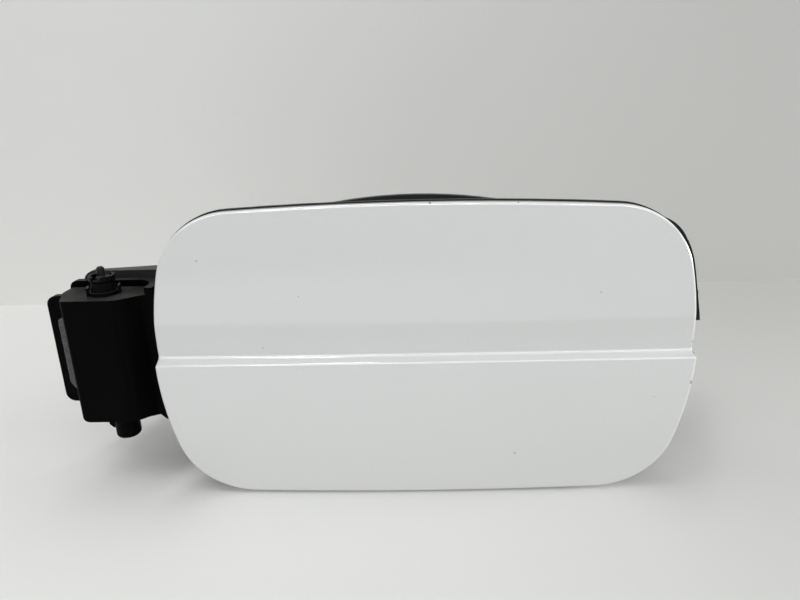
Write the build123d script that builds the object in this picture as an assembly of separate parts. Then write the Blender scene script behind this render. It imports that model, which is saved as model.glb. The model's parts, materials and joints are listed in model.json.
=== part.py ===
"""Car fuel door unit: a painted flap on a gooseneck hinge, its filler bowl and its pin lock.

X runs to the right seen from outside the car, Y runs into the car and Z is up. The origin is on the
filler neck's axis, in the plane where the bowl's flange seats on the body. Lengths are millimetres.
"""
from build123d import *
from math import asin, atan2, degrees, sqrt
import os

# Flap outline, seen from outside
door_width = 207.2
door_height = 118.8
door_side_bow_radius = 144.7
door_top_bow_radius = 1190.0
door_bottom_bow_radius = 5400.0
door_corner_radius = 30.0

# Flap section: height of each body line, and its depth behind the flap's reference plane
door_plane_y = -33.0
door_sweep_radius = 2200.0
upper_lean = 3.0
upper_crown = 0.7
crease_z = 14.7
ledge_root_z = 1.3
ledge_root_left_drop = 0.6
ledge_root_right_drop = 1.0
ledge_root_depth = 1.4
ledge_nose_z = -0.1
ledge_nose_left_drop = 1.2
ledge_nose_right_drop = 0.9
ledge_nose_depth = -3.0
lower_lean = 1.2
lower_crown = 1.4
crease_round = 14.0
ledge_root_round = 1.4
ledge_nose_round = 0.9
door_sections = 5

# Painted skin
skin_thickness = 1.6
skin_hem_depth = 3.2
skin_hem_width = 4.0
skin_edge_round = 0.9

# Inner carrier
carrier_gap = 0.05
carrier_proud = 0.45
carrier_plate = 2.2
carrier_rim_inset = 3.0
carrier_rim_width = 2.6
carrier_depth = 12.5
carrier_rib = 1.6
carrier_rib_depth = 10.5
carrier_rib_pitch = 34.0
finger_tab_reach = 1.75
finger_tab_bottom_z = 11.7
finger_tab_top_z = 43.0
finger_tab_root = 26.0
finger_tab_flare = 1.15
finger_tab_flare_height = 16.0
finger_tab_corner_radius = 16.35
finger_tab_corner_inset = 20.8
finger_tab_corner_drop = 23.0
arm_seat_depth = 11.0
arm_seat_wall = 2.4
arm_seat_round = 1.0
stop_x = 55.0
stop_post_radius = 2.5
stop_shoulder_radius = 3.6
cap_hook_x = 28.0
cap_hook_z = -26.0
cap_hook_radius = 9.0
cap_hook_wall = 2.4
cap_hook_height = 13.0
cap_hook_mouth = 9.0

# Lock eye on the carrier
lock_y = 11.5
lock_z = 0.0
lug_wall_gap = 2.0
lug_thickness = 3.6
lug_tip_radius = 7.0
lug_base_half = 10.0
lug_eye_clearance = 0.8
lug_eye_round = 0.8
lug_gusset_length = 15.0

# Hinge axis and box
hinge_offset = 23.5
hinge_depth = 17.0
box_mid_z = -3.45
box_rise = 26.65
box_drop = 25.75
box_left = 13.2
box_left_flare = 5.0
box_left_run = 12.0
box_left_round = 6.0
box_front = 9.6
box_shoulder = 8.0
box_wall = 2.2
box_plate = 3.0
box_corner_round = 1.6
box_shoulder_round = 8.0
box_low_round = 2.7
box_side_wall = 2.0
box_throat_run = 8.5
box_throat_round = 6.0
box_end_gap = 3.4
box_end_post = 3.2

# Hinge box base, which lies on the bowl's flange
base_thickness = 3.0
base_lobe_reach = 17.2
base_lobe_drop = 3.7
base_lobe_round = 4.0
base_reach = 5.9
base_above = 2.8
base_below = 7.3
base_sag = 2.2
base_round = 3.0
base_tooth_width = 10.0
base_tooth_slope = 2.5
base_tooth_drop = 2.4
tier_round = 8.0
strip_inset = 3.7
strip_width = 4.2
strip_thickness = 2.0
strip_end_margin = 4.0
strip_end_slope = 5.6
strip_top_drop = 9.6

# Hinge pin, bush and boss
pin_radius = 2.5
pin_fit = 0.05
pin_tip_radius = 1.5
pin_tip_length = 3.6
pin_nose_radius = 0.8
bush_radius = 4.5
bush_height = 7.9
bush_flange_radius = 5.4
bush_flange_height = 1.6
bush_cup_radius = 4.9
bush_cup_height = 1.8
bush_cup_depth = 2.4
bush_cup_wall = 0.9
bush_slot_width = 3.2
bush_slot_depth = 1.3
bush_wing_length = 12.4
bush_wing_width = 4.0
bush_wing_height = 3.4
bush_wing_notch = 0.8
bush_wing_notch_depth = 1.8
bush_wing_turn = 20.0
bush_spigot_radius = 4.0
seat_clearance = 0.1
boss_radius = 5.0
boss_length = 11.0
boss_end_round = 1.6
boss_collar_radius = 5.9
boss_collar_height = 1.4
boss_web_reach = 7.4
boss_web_drop = 7.2
boss_web_slope = 1.6
boss_web = 2.4
boss_floor = 2.2

# Gooseneck arm
arm_thickness = 5.0
arm_web = 3.0
arm_flange_height = 3.0
arm_height = 39.0
arm_knuckle_radius = 5.5
arm_knuckle_play = 0.4
arm_heel_offset = 2.5
arm_heel_lean = 4.5
arm_reach_back = 35.5
arm_reach_right = 33.0
arm_bend_radius = 13.0
arm_foot_thickness = 4.0
arm_foot_width = 50.0
arm_foot_round = 3.0
arm_cam_radius = 1.4
arm_cam_angle = 222.0

# Leaf spring that snaps the flap open or shut
leaf_thickness = 0.6
leaf_height = 22.0
leaf_front = 5.6
leaf_rear = 8.0
leaf_gap = 0.5

# Bowl
flange_thickness = 3.0
flange_width = 192.0
flange_height = 116.8
flange_side_bow_radius = 170.0
flange_top_bow_radius = 207.0
flange_corner_radius = 30.0
flange_margin = 8.0
bowl_shift_x = -2.0
bowl_depth = 46.0
bowl_draft = 5.0
bowl_wall = 2.5
ear_reach = 1.3
ear_lap = 3.4
ear_lip_height = 2.0
ear_lip_depth = 7.0
ear_lip_end = 6.0
ear_round = 5.0
pocket_clearance = 5.0
pocket_side_gap = 1.2
pocket_wall_gap = 2.2
pocket_overrun = 5.0
pocket_round = 3.0

# Filler neck seat
neck_collar_radius = 37.5
neck_collar_wall = 3.0
neck_collar_front = 4.0
neck_collar_back = 8.0
neck_bore_radius = 27.5
neck_lip_length = 15.0
neck_lip_wall = 2.6
neck_web = 3.0

# Drain spigot
drain_x = 56.0
drain_z = -32.0
drain_radius = 4.5
drain_bore = 2.8
drain_length = 16.0
drain_lead = 0.8

# Rim seal behind the flange
seal_inset = 1.5
seal_width = 4.0
seal_height = 2.5
seal_end_round = 1.0

# Rubber caps that stop the flap on the flange
stop_radius = 3.8
stop_tip_round = 1.2
stop_cap_floor = 2.2
stop_gap = 0.3
stop_cap_length = 6.7

# Spring clips that hold the bowl in the body
clip_x = 52.0
clip_width = 8.0
clip_thickness = 0.8
clip_start_y = 5.0
clip_length = 15.0
clip_rise = 3.2
clip_tail = 9.0
clip_tip_rise = 1.9
clip_pad_width = 11.0
clip_pad_lead = 1.0
clip_pad_height = 15.0

# Lock
lock_pin_radius = 3.0
lock_pin_overhang = 1.4
lock_travel = 10.0
lock_pin_length = 28.0
lock_pin_fit = 0.1
lock_pin_round = 1.2
lock_seat_height = 3.0
lock_body_length = 27.0
lock_body_width = 21.0
lock_body_height = 28.0
lock_body_round = 2.5
lock_body_offset_y = 4.0
lock_ear_height = 10.0
lock_ear_thickness = 3.0
lock_cover_thickness = 1.6
lock_cover_lip = 0.4
lock_socket_width = 13.0
lock_socket_depth = 9.0
lock_socket_length = 11.0
lock_socket_wall = 1.6
lock_socket_inset = 3.0
lock_boss_radius = 4.0
grommet_radius = 5.6
grommet_gap = 0.3

# Screws
screw_radius = 1.5
screw_head_radius = 3.0
screw_head_height = 2.0
screw_socket_radius = 1.2
screw_socket_depth = 1.1
housing_screw_left = 6.0
housing_screw_right = 5.0
housing_screw_inset = 3.1
housing_screw_cover = 0.75
arm_screw_root_inset = 14.0
arm_screw_inset_x = 7.0
arm_screw_inset_z = 6.0
arm_screw_bite = 4.5
arm_boss_radius = 4.0
lock_screw_bite = 4.0

# Overrun of shapes that are trimmed afterwards
front_overrun = 12.0
edge_overrun = 4.0
back_overrun = 8.0

# Places that follow from the values above: the flap and its carrier
door_front_y = door_plane_y - front_overrun
door_half_height = door_height / 2
carrier_front = skin_hem_depth + carrier_gap
carrier_rear = carrier_front + carrier_plate
carrier_back_y = door_plane_y + carrier_depth
carrier_rib_back_y = door_plane_y + carrier_rib_depth

# The bowl's mouth
flange_front_y = -flange_thickness
far_back_y = bowl_depth + drain_length + back_overrun
mouth_half = flange_width / 2 - flange_margin
stop_tip_y = flange_front_y - stop_gap
stop_shoulder_y = stop_tip_y - stop_cap_length

# The hinge
hinge_x = -door_width / 2 - hinge_offset
hinge_y = door_plane_y + hinge_depth
box_top_z = box_mid_z + box_rise
box_bottom_z = box_mid_z - box_drop
box_left_x = hinge_x - box_left
box_front_y = hinge_y - box_front
box_shoulder_x = hinge_x + box_shoulder
box_side_wall_y = hinge_y - box_side_wall
box_end_x = -door_width / 2 - box_end_gap
cavity_top_z = box_top_z - box_plate
cavity_bottom_z = box_bottom_z + box_plate
base_front_y = flange_front_y - base_thickness
base_left_x = box_left_x - base_lobe_reach
base_shoulder_x = box_left_x - base_reach
base_lobe_top_z = box_top_z - base_lobe_drop
base_top_z = box_top_z + base_above
base_bottom_z = box_bottom_z - base_below

# The arm and the pocket it swings in
arm_low_z = box_mid_z - arm_height / 2
arm_high_z = box_mid_z + arm_height / 2
arm_far_x = hinge_x + arm_reach_right
arm_seat_y = door_plane_y + arm_seat_depth
arm_foot_left_x = arm_far_x - arm_thickness / 2
arm_foot_right_x = arm_foot_left_x + arm_foot_width
arm_foot_back_y = arm_seat_y + arm_foot_thickness
pocket_depth = hinge_y + arm_reach_back + arm_thickness / 2 + pocket_clearance
pocket_top_z = arm_high_z + pocket_side_gap
pocket_bottom_z = arm_low_z - pocket_side_gap
pocket_left_x = box_left_x + pocket_wall_gap
pocket_right_x = bowl_shift_x - mouth_half + bowl_draft + pocket_overrun
ear_left_x = box_left_x - ear_reach
ear_top_z = base_top_z + ear_lap
ear_bottom_z = base_bottom_z

# The lock
lug_outer_x = bowl_shift_x + mouth_half - bowl_draft - lug_wall_gap
lug_inner_x = lug_outer_x - lug_thickness
lock_pin_tip_x = lug_inner_x - lock_pin_overhang + lock_travel
lock_face_x = bowl_shift_x + mouth_half + bowl_wall + lock_seat_height


def front_plane(y):
    """X-Z working plane at depth y, facing out of the car."""
    return Plane(origin=(0, y, 0), x_dir=(1, 0, 0), z_dir=(0, -1, 0))


def slab(sketch, front_y, back_y):
    """Prism of an X-Z sketch between two depths."""
    return extrude(front_plane(back_y) * sketch, amount=back_y - front_y)


def block(x0, x1, y0, y1, z0, z1):
    """Box between two corners."""
    return Pos((x0 + x1) / 2, (y0 + y1) / 2, (z0 + z1) / 2) * Box(x1 - x0, y1 - y0, z1 - z0)


def panel(x0, x1, z0, z1, corner):
    """Rounded X-Z rectangle between two corners."""
    return Pos((x0 + x1) / 2, (z0 + z1) / 2) * RectangleRounded(x1 - x0, z1 - z0, corner)


def rod_x(y, z, radius, x0, x1):
    """Cylinder along X."""
    return Pos((x0 + x1) / 2, y, z) * Rot(0, 90, 0) * Cylinder(radius, x1 - x0)


def rod_y(x, z, radius, y0, y1):
    """Cylinder along Y."""
    return Pos(x, (y0 + y1) / 2, z) * Rot(90, 0, 0) * Cylinder(radius, y1 - y0)


def rod_z(x, y, radius, z0, z1):
    """Cylinder along Z."""
    return Pos(x, y, (z0 + z1) / 2) * Cylinder(radius, z1 - z0)


def turned(points, x, y):
    """Solid turned about a vertical axis from (radius, height) points."""
    profile = make_face(Polyline(*points, close=True))
    return Pos(x, y, 0) * revolve(Plane.XZ * profile, Axis.Z)


def crowned_outline(width, height, side_bow, top_bow, bottom_bow, corner):
    """Four bowed edges with rounded corners, centred on the origin."""
    sides = Pos(width / 2 - side_bow, 0) * Circle(side_bow) & Pos(side_bow - width / 2, 0) * Circle(side_bow)
    top = Pos(0, height / 2 - top_bow) * Circle(top_bow)
    bottom = Pos(0, bottom_bow - height / 2) * Circle(bottom_bow)
    outline = sides & top & bottom
    return fillet(outline.vertices(), corner)


def bowed_z(half_height, bow_radius, x):
    """Height of a bowed top edge at a distance x from its middle."""
    return half_height - bow_radius + sqrt(bow_radius ** 2 - x ** 2)


def door_outline(grow):
    """The flap's outline, grown by a margin."""
    return crowned_outline(
        door_width + 2 * grow,
        door_height + 2 * grow,
        door_side_bow_radius + grow,
        door_top_bow_radius + grow,
        door_bottom_bow_radius + grow,
        door_corner_radius + grow,
    )


def bowed_line(middle, left_drop, right_drop, place):
    """Height of a bowed body line at a place from -1, at the hinge side, to 1, at the free edge."""
    bow = (left_drop + right_drop) / 2
    tilt = (left_drop - right_drop) / 2
    return middle + tilt * place - bow * place ** 2


def door_section(place):
    """Upright section of the flap at a place along it, with all that lies behind its outer surface."""
    reach = door_half_height + 2 * carrier_proud + edge_overrun
    root_z = bowed_line(ledge_root_z, ledge_root_left_drop, ledge_root_right_drop, place)
    nose_z = bowed_line(ledge_nose_z, ledge_nose_left_drop, ledge_nose_right_drop, place)
    top = (door_plane_y + upper_lean, reach)
    crease = (door_plane_y, crease_z)
    root = (door_plane_y + ledge_root_depth, root_z)
    nose = (door_plane_y + ledge_nose_depth, nose_z)
    bottom = (door_plane_y + lower_lean, -reach)
    upper_mid = ((top[0] + crease[0]) / 2 - upper_crown, (top[1] + crease[1]) / 2)
    lower_mid = ((nose[0] + bottom[0]) / 2 - lower_crown, (nose[1] + bottom[1]) / 2)
    section = make_face([
        ThreePointArc(top, upper_mid, crease),
        Line(crease, root),
        Line(root, nose),
        ThreePointArc(nose, lower_mid, bottom),
        Polyline(bottom, (far_back_y, -reach), (far_back_y, reach), top),
    ])
    for point, radius in ((crease, crease_round), (root, ledge_root_round), (nose, ledge_nose_round)):
        section = fillet(section.vertices().sort_by_distance(Vector(*point))[0], radius)
    return Plane.YZ * section


def door_form():
    """All that lies behind the flap's outer surface: its sections lofted round the body side's curve."""
    axis = Axis((0, door_plane_y + door_sweep_radius, 0), (0, 0, 1))
    half_angle = degrees(asin((door_width / 2 + 4 * finger_tab_reach) / door_sweep_radius))
    sections = []
    for step in range(door_sections):
        place = 2 * step / (door_sections - 1) - 1
        sections.append(door_section(place).rotate(axis, half_angle * place))
    return loft(sections)


door_body = door_form()


def behind(depth):
    """The flap's form, set back by a depth."""
    return Pos(0, depth, 0) * door_body


def door_layer(sketch, start, end):
    """Layer of the flap between two depths behind its surface, cut to an outline."""
    return (slab(sketch, door_front_y, 0) & behind(start)) - behind(end)


def door_post(sketch, back_y):
    """Prism from ahead of the flap back to a flat plane, to be trimmed to the flap's form."""
    return slab(sketch, door_front_y, back_y)


def make_outer_panel():
    """Painted skin with a hemmed, rounded edge."""
    skin = door_layer(door_outline(0), 0, skin_hem_depth)
    inside = slab(door_outline(-skin_edge_round / 2), door_front_y, 0)
    front_faces = [face for face in skin.faces() if face.normal_at(face.center()).Y < -0.2]
    rim = ShapeList()
    for face in front_faces:
        for edge in face.edges():
            if not inside.solids()[0].is_inside(edge @ 0.5):
                rim.append(edge)
    skin = fillet(rim, skin_edge_round)
    hollow = slab(door_outline(-skin_hem_width), door_front_y, 0) & behind(skin_thickness)
    return skin - hollow


def finger_tab():
    """Pull tab along the carrier's free edge: a sliver round the upper corner, flared at its lower end."""
    edge_x = door_width / 2
    root_x = edge_x - finger_tab_root
    flare_top_z = finger_tab_bottom_z + finger_tab_flare_height
    low_x = bowed_z(edge_x, door_side_bow_radius, finger_tab_bottom_z) + finger_tab_reach
    high_x = bowed_z(edge_x, door_side_bow_radius, flare_top_z) + finger_tab_reach
    zone = panel(root_x, 2 * edge_x, finger_tab_bottom_z, finger_tab_top_z, carrier_proud)
    sliver = Circle(finger_tab_corner_radius)
    corner = Pos(edge_x - finger_tab_corner_inset, door_half_height - finger_tab_corner_drop) * sliver
    flare = make_face(Polyline(
        (root_x, finger_tab_bottom_z),
        (low_x + finger_tab_flare, finger_tab_bottom_z),
        (high_x, flare_top_z),
        (root_x, flare_top_z),
        close=True,
    ))
    return (door_outline(finger_tab_reach) & zone) + corner + flare


def arm_foot_outline():
    """Outline of the arm's foot on the carrier."""
    return panel(arm_foot_left_x, arm_foot_right_x, arm_low_z, arm_high_z, arm_foot_round)


def arm_screw_places():
    """Middles of the four arm screws."""
    return [
        (x, z)
        for x in (arm_foot_left_x + arm_screw_root_inset, arm_foot_right_x - arm_screw_inset_x)
        for z in (arm_low_z + arm_screw_inset_z, arm_high_z - arm_screw_inset_z)
    ]


def stop_places():
    """Middles of the two rubber stops, half way across the flange."""
    outer = bowed_z(flange_height / 2, flange_top_bow_radius, stop_x - bowl_shift_x)
    inner = outer - flange_margin
    middle = (outer + inner) / 2
    return [(stop_x, middle), (stop_x, -middle)]


def lock_lug():
    """Plate with the lock eye, standing back from the carrier into the bowl."""
    base_y = door_front_y
    outline = make_hull([
        *(Pos(lock_y, lock_z) * Circle(lug_tip_radius)).edges(),
        Line((base_y, lock_z - lug_base_half), (base_y, lock_z + lug_base_half)),
    ])
    eye_width = 2 * (lock_pin_radius + lug_eye_clearance)
    eye = Pos(lock_y, lock_z) * RectangleRounded(eye_width, eye_width, lug_eye_round)
    lug = extrude(Plane.YZ.offset(lug_inner_x) * (outline - eye), amount=lug_thickness)
    gusset = Polyline(
        (lug_inner_x, base_y),
        (lug_inner_x - lug_gusset_length, base_y),
        (lug_inner_x, lock_y - 2 * lug_tip_radius),
        close=True,
    )
    for side in (-1, 1):
        z = lock_z + side * (lug_tip_radius - carrier_rib) - carrier_rib / 2
        lug += extrude(Plane.XY.offset(z) * make_face(gusset), amount=carrier_rib)
    return lug


def cap_hook():
    """Open ring that holds the filler cap while refuelling."""
    ring = Circle(cap_hook_radius) - Circle(cap_hook_radius - cap_hook_wall)
    mouth = Pos(0, cap_hook_radius) * Rectangle(cap_hook_mouth, 2 * cap_hook_radius)
    outline = Pos(cap_hook_x, cap_hook_z) * (ring - mouth)
    return door_post(outline, carrier_rib_back_y + cap_hook_height)


def make_inner_carrier():
    """Black moulded carrier behind the skin, with ribs, arm seat, lock eye, tab and cap hook."""
    outline = door_outline(carrier_proud)
    inner = door_outline(-carrier_rim_inset - carrier_rim_width)
    carrier = slab(outline + finger_tab(), door_front_y, 0) - behind(carrier_rear)
    carrier += door_post(door_outline(-carrier_rim_inset) - inner, carrier_back_y)
    rib_lines = Rectangle(door_width, carrier_rib)
    columns = int(door_width / 2 / carrier_rib_pitch)
    for column in range(-columns + 1, columns + 1):
        rib_lines += Pos((column - 0.5) * carrier_rib_pitch, 0) * Rectangle(carrier_rib, door_height)
    carrier += door_post((rib_lines & inner) - arm_foot_outline(), carrier_rib_back_y)
    seat_hollow = panel(
        arm_foot_left_x + arm_seat_wall,
        arm_foot_right_x - arm_seat_wall,
        arm_low_z + arm_seat_wall,
        arm_high_z - arm_seat_wall,
        arm_seat_round,
    )
    seat = arm_foot_outline() - seat_hollow
    for x, z in arm_screw_places():
        seat += Pos(x, z) * Circle(arm_boss_radius)
    carrier += door_post(seat, arm_seat_y)
    for x, z in stop_places():
        carrier += door_post(Pos(x, z) * Circle(stop_shoulder_radius), stop_shoulder_y)
        carrier += rod_y(x, z, stop_post_radius, stop_shoulder_y, stop_tip_y - stop_cap_floor)
    carrier += lock_lug()
    carrier += cap_hook()
    for x, z in arm_screw_places():
        carrier -= rod_y(x, z, screw_radius, arm_seat_y - arm_screw_bite, arm_seat_y)
    return carrier & behind(carrier_front)


def arm_path():
    """Middle line of the gooseneck, from the knuckle round the body edge to the flap."""
    heel_x = hinge_x - arm_heel_offset
    return FilletPolyline(
        (heel_x, hinge_y),
        (heel_x - arm_heel_lean, hinge_y + arm_reach_back),
        (arm_far_x, hinge_y + arm_reach_back),
        (arm_far_x, arm_seat_y + arm_foot_thickness / 2),
        radius=arm_bend_radius,
    )


def make_hinge_arm():
    """Gooseneck with flanged edges, knuckle with its cam nose, and screwed foot."""
    path = arm_path()
    flange = trace(path, arm_thickness)
    web = trace(path, arm_web)
    arm = Pos(0, 0, arm_low_z) * extrude(web, amount=arm_height)
    arm += Pos(0, 0, arm_low_z) * extrude(flange, amount=arm_flange_height)
    arm += Pos(0, 0, arm_high_z - arm_flange_height) * extrude(flange, amount=arm_flange_height)
    arm += Pos(0, 0, box_mid_z - arm_flange_height / 2) * extrude(flange, amount=arm_flange_height)
    arm += slab(arm_foot_outline(), arm_seat_y, arm_foot_back_y)
    knuckle_low = cavity_bottom_z + arm_knuckle_play
    knuckle_high = cavity_top_z - arm_knuckle_play
    arm += rod_z(hinge_x, hinge_y, arm_knuckle_radius, knuckle_low, knuckle_high)
    nose = Vector(arm_knuckle_radius + arm_cam_radius / 4, 0, 0).rotate(Axis.Z, arm_cam_angle)
    arm += rod_z(hinge_x + nose.X, hinge_y + nose.Y, arm_cam_radius, arm_low_z, arm_high_z)
    arm -= rod_z(hinge_x, hinge_y, pin_radius + pin_fit, box_bottom_z, box_top_z)
    for x, z in arm_screw_places():
        arm -= rod_y(x, z, screw_radius + seat_clearance, arm_seat_y, arm_foot_back_y)
    return arm


def screw(length):
    """Pan head screw with a socket, along +Z from the underside of its head at the origin."""
    shank = Pos(0, 0, length / 2) * Cylinder(screw_radius, length)
    head = Pos(0, 0, -screw_head_height / 2) * Cylinder(screw_head_radius, screw_head_height)
    head = fillet(head.edges().group_by(Axis.Z)[0], screw_head_height / 3)
    drive = Pos(0, 0, -screw_head_height + screw_socket_depth / 2) * extrude(
        RegularPolygon(screw_socket_radius, 6), amount=screw_socket_depth / 2, both=True
    )
    return shank + head - drive


def make_arm_screws():
    """Four screws through the arm's foot into the carrier."""
    length = arm_foot_thickness + arm_screw_bite - seat_clearance
    return [Pos(x, arm_foot_back_y, z) * Rot(90, 0, 0) * screw(length) for x, z in arm_screw_places()]


def box_plan(inset, flare):
    """Plan of the hinge box: flared left wall, flat front, round shoulder, slanted throat and side wall."""
    front = box_front_y + inset
    left = box_left_x + inset
    bend_y = box_front_y + box_left_run
    shoulder = box_shoulder_x - inset / 2
    throat = box_shoulder_x + box_throat_run - inset / 2
    wall = box_side_wall_y + inset
    outline = make_face(Polyline(
        (box_end_x, flange_front_y),
        (left - flare, flange_front_y),
        (left - flare, bend_y),
        (left, front),
        (shoulder, front),
        (throat, wall),
        (box_end_x, wall),
        close=True,
    ))
    rounds = [
        ((left, front, 0), box_corner_round),
        ((shoulder, front, 0), box_shoulder_round - inset),
        ((throat, wall, 0), box_throat_round),
    ]
    if flare > 0:
        rounds.append(((left - flare, bend_y, 0), box_left_round))
    for corner, radius in rounds:
        outline = fillet(outline.vertices().sort_by_distance(corner)[0], radius)
    return outline


def box_face():
    """Front view of the hinge box with its lower left corner rounded, carried back along the flared wall."""
    left = box_left_x - seat_clearance
    right = box_end_x + 2 * box_left_flare
    face = make_face(Polyline(
        (left, box_bottom_z),
        (right, box_bottom_z),
        (right, box_top_z),
        (left, box_top_z),
        close=True,
    ))
    face = fillet(face.vertices().sort_by_distance((left, box_bottom_z, 0))[0], box_low_round)
    turn = degrees(atan2(box_left_flare, box_left_run))
    prism = slab(face, box_front_y - box_left_run, 2 * box_left_run)
    return prism.rotate(Axis((box_left_x, box_front_y, 0), (0, 0, 1)), turn)


def bar_screw_places():
    """Middles of the screws that hold the hinge box, above and below its pocket."""
    return [
        (x, z)
        for x in (hinge_x - housing_screw_left, box_end_x - housing_screw_right)
        for z in (base_top_z - housing_screw_inset, base_bottom_z + housing_screw_inset)
    ]


def raised_tier():
    """Raised wall behind and beside the bush, rounded in its inner corner."""
    post_x = box_end_x - box_end_post
    plan = make_face(Polyline(
        (box_end_x, flange_front_y),
        (box_left_x, flange_front_y),
        (box_left_x, base_front_y),
        (post_x, base_front_y),
        (post_x, box_side_wall_y),
        (box_end_x, box_side_wall_y),
        close=True,
    ))
    plan = fillet(plan.vertices().sort_by_distance((post_x, base_front_y, 0))[0], tier_round)
    return Pos(0, 0, box_top_z) * extrude(plan, amount=base_above)


def boss_gusset():
    """Thin web beside the lower boss, under the box."""
    left = hinge_x - boss_web_reach
    low = box_bottom_z - boss_web_drop
    web = make_face(Polyline(
        (left, box_bottom_z),
        (left, low + boss_web_slope),
        (left + boss_web_slope, low),
        (hinge_x - pin_radius - seat_clearance, low),
        (hinge_x - pin_radius - seat_clearance, box_bottom_z),
        close=True,
    ))
    return slab(web, hinge_y - boss_web / 2, hinge_y + boss_web / 2)


def make_hinge_housing():
    """Fixed hinge box: open at the rear, with its base, lower boss and end post."""
    housing = Pos(0, 0, box_bottom_z) * extrude(box_plan(0, box_left_flare), amount=box_top_z - box_bottom_z)
    housing &= box_face()
    housing += block(
        box_end_x - box_end_post,
        box_end_x,
        box_side_wall_y,
        flange_front_y,
        box_bottom_z,
        box_top_z,
    )
    lobe = panel(base_left_x, box_left_x + base_lobe_round, box_bottom_z, base_lobe_top_z, base_lobe_round)
    bars = panel(base_shoulder_x, box_end_x, base_bottom_z, base_top_z, base_round)
    tooth = make_face(Polyline(
        (box_end_x - base_tooth_width, base_bottom_z),
        (box_end_x - base_tooth_width + base_tooth_slope, base_bottom_z - base_tooth_drop),
        (box_end_x, base_bottom_z - base_tooth_drop),
        (box_end_x, base_bottom_z + base_round),
        (box_end_x - base_tooth_width, base_bottom_z + base_round),
        close=True,
    ))
    sag = make_face(Polyline(
        (box_end_x - base_tooth_width, base_bottom_z),
        (hinge_x, base_bottom_z - base_sag),
        (box_left_x, base_bottom_z),
        (box_left_x, base_bottom_z + base_round),
        (box_end_x - base_tooth_width, base_bottom_z + base_round),
        close=True,
    ))
    housing += slab(lobe + bars + tooth + sag, base_front_y, flange_front_y)
    housing += raised_tier()
    cavity = box_plan(box_wall, 0)
    housing -= Pos(0, 0, cavity_bottom_z) * extrude(cavity, amount=cavity_top_z - cavity_bottom_z)
    housing += rod_z(hinge_x, hinge_y, boss_collar_radius, box_bottom_z - boss_collar_height, box_bottom_z)
    housing += boss_gusset()
    boss_end_z = box_bottom_z - boss_length
    boss = rod_z(hinge_x, hinge_y, boss_radius, boss_end_z, box_bottom_z)
    housing += fillet(boss.edges().group_by(Axis.Z)[0], boss_end_round)
    housing -= rod_z(hinge_x, hinge_y, pin_radius + seat_clearance, boss_end_z + boss_floor, cavity_bottom_z)
    housing -= rod_z(hinge_x, hinge_y, bush_spigot_radius + seat_clearance, cavity_top_z, box_top_z)
    for x, z in bar_screw_places():
        housing -= rod_y(x, z, screw_radius, base_front_y + housing_screw_cover, flange_front_y)
    return housing


def make_foam_strip():
    """Foam seal on the front of the hinge box's left lobe, cut slanted at its lower end."""
    left = base_left_x + strip_inset
    right = left + strip_width
    low = box_bottom_z + strip_end_margin
    high = base_lobe_top_z - strip_top_drop
    strip = make_face(Polyline(
        (left, low + strip_end_slope),
        (right, low),
        (right, high),
        (left, high),
        close=True,
    ))
    solid = slab(strip, base_front_y - strip_thickness, base_front_y)
    return fillet(solid.edges().group_by(Axis.Y)[0], strip_thickness / 3)


def make_upper_bush():
    """Snap bush in the hinge box's top plate: spigot, flange, notched wings and flared cup."""
    flange_top = box_top_z + bush_flange_height
    bush_top = box_top_z + bush_height
    cup_start = bush_top - bush_cup_height
    bush = turned(
        [
            (0, cavity_top_z),
            (bush_spigot_radius, cavity_top_z),
            (bush_spigot_radius, box_top_z),
            (bush_flange_radius, box_top_z),
            (bush_flange_radius, flange_top),
            (bush_radius, flange_top),
            (bush_radius, cup_start - bush_cup_height / 2),
            (bush_cup_radius, cup_start),
            (bush_cup_radius, bush_top),
            (0, bush_top),
        ],
        hinge_x,
        hinge_y,
    )
    half_length = bush_wing_length / 2
    wing_top = box_top_z + bush_wing_height
    wings = block(
        hinge_x - half_length,
        hinge_x + half_length,
        hinge_y - bush_wing_width / 2,
        hinge_y + bush_wing_width / 2,
        box_top_z,
        wing_top,
    )
    for side in (-1, 1):
        notch_x = hinge_x + side * (bush_radius + bush_wing_notch / 2)
        wings -= block(
            notch_x - bush_wing_notch / 2,
            notch_x + bush_wing_notch / 2,
            hinge_y - bush_wing_width,
            hinge_y + bush_wing_width,
            wing_top - bush_wing_notch_depth,
            wing_top,
        )
    slot = block(
        hinge_x - bush_slot_width / 2,
        hinge_x + bush_slot_width / 2,
        hinge_y - 2 * bush_cup_radius,
        hinge_y + 2 * bush_cup_radius,
        bush_top - bush_slot_depth,
        bush_top,
    )
    hinge_axis = Axis((hinge_x, hinge_y, 0), (0, 0, 1))
    bush += wings.rotate(hinge_axis, bush_wing_turn)
    bush -= slot
    bush -= rod_z(hinge_x, hinge_y, bush_cup_radius - bush_cup_wall, bush_top - bush_cup_depth, bush_top)
    return bush - rod_z(hinge_x, hinge_y, pin_radius + seat_clearance, cavity_top_z, bush_top)


def make_hinge_pin():
    """Hinge pin from the lower boss to a pointed tip above the bush."""
    low = box_bottom_z - boss_length + boss_floor
    shoulder = box_top_z + bush_height - bush_cup_depth / 2
    neck = shoulder + pin_radius - pin_tip_radius
    tip = neck + pin_tip_length
    taper = pin_tip_radius - pin_nose_radius
    return turned(
        [
            (0, low),
            (pin_radius, low),
            (pin_radius, shoulder),
            (pin_tip_radius, neck),
            (pin_tip_radius, tip - taper),
            (pin_nose_radius, tip),
            (0, tip),
        ],
        hinge_x,
        hinge_y,
    )


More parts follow.
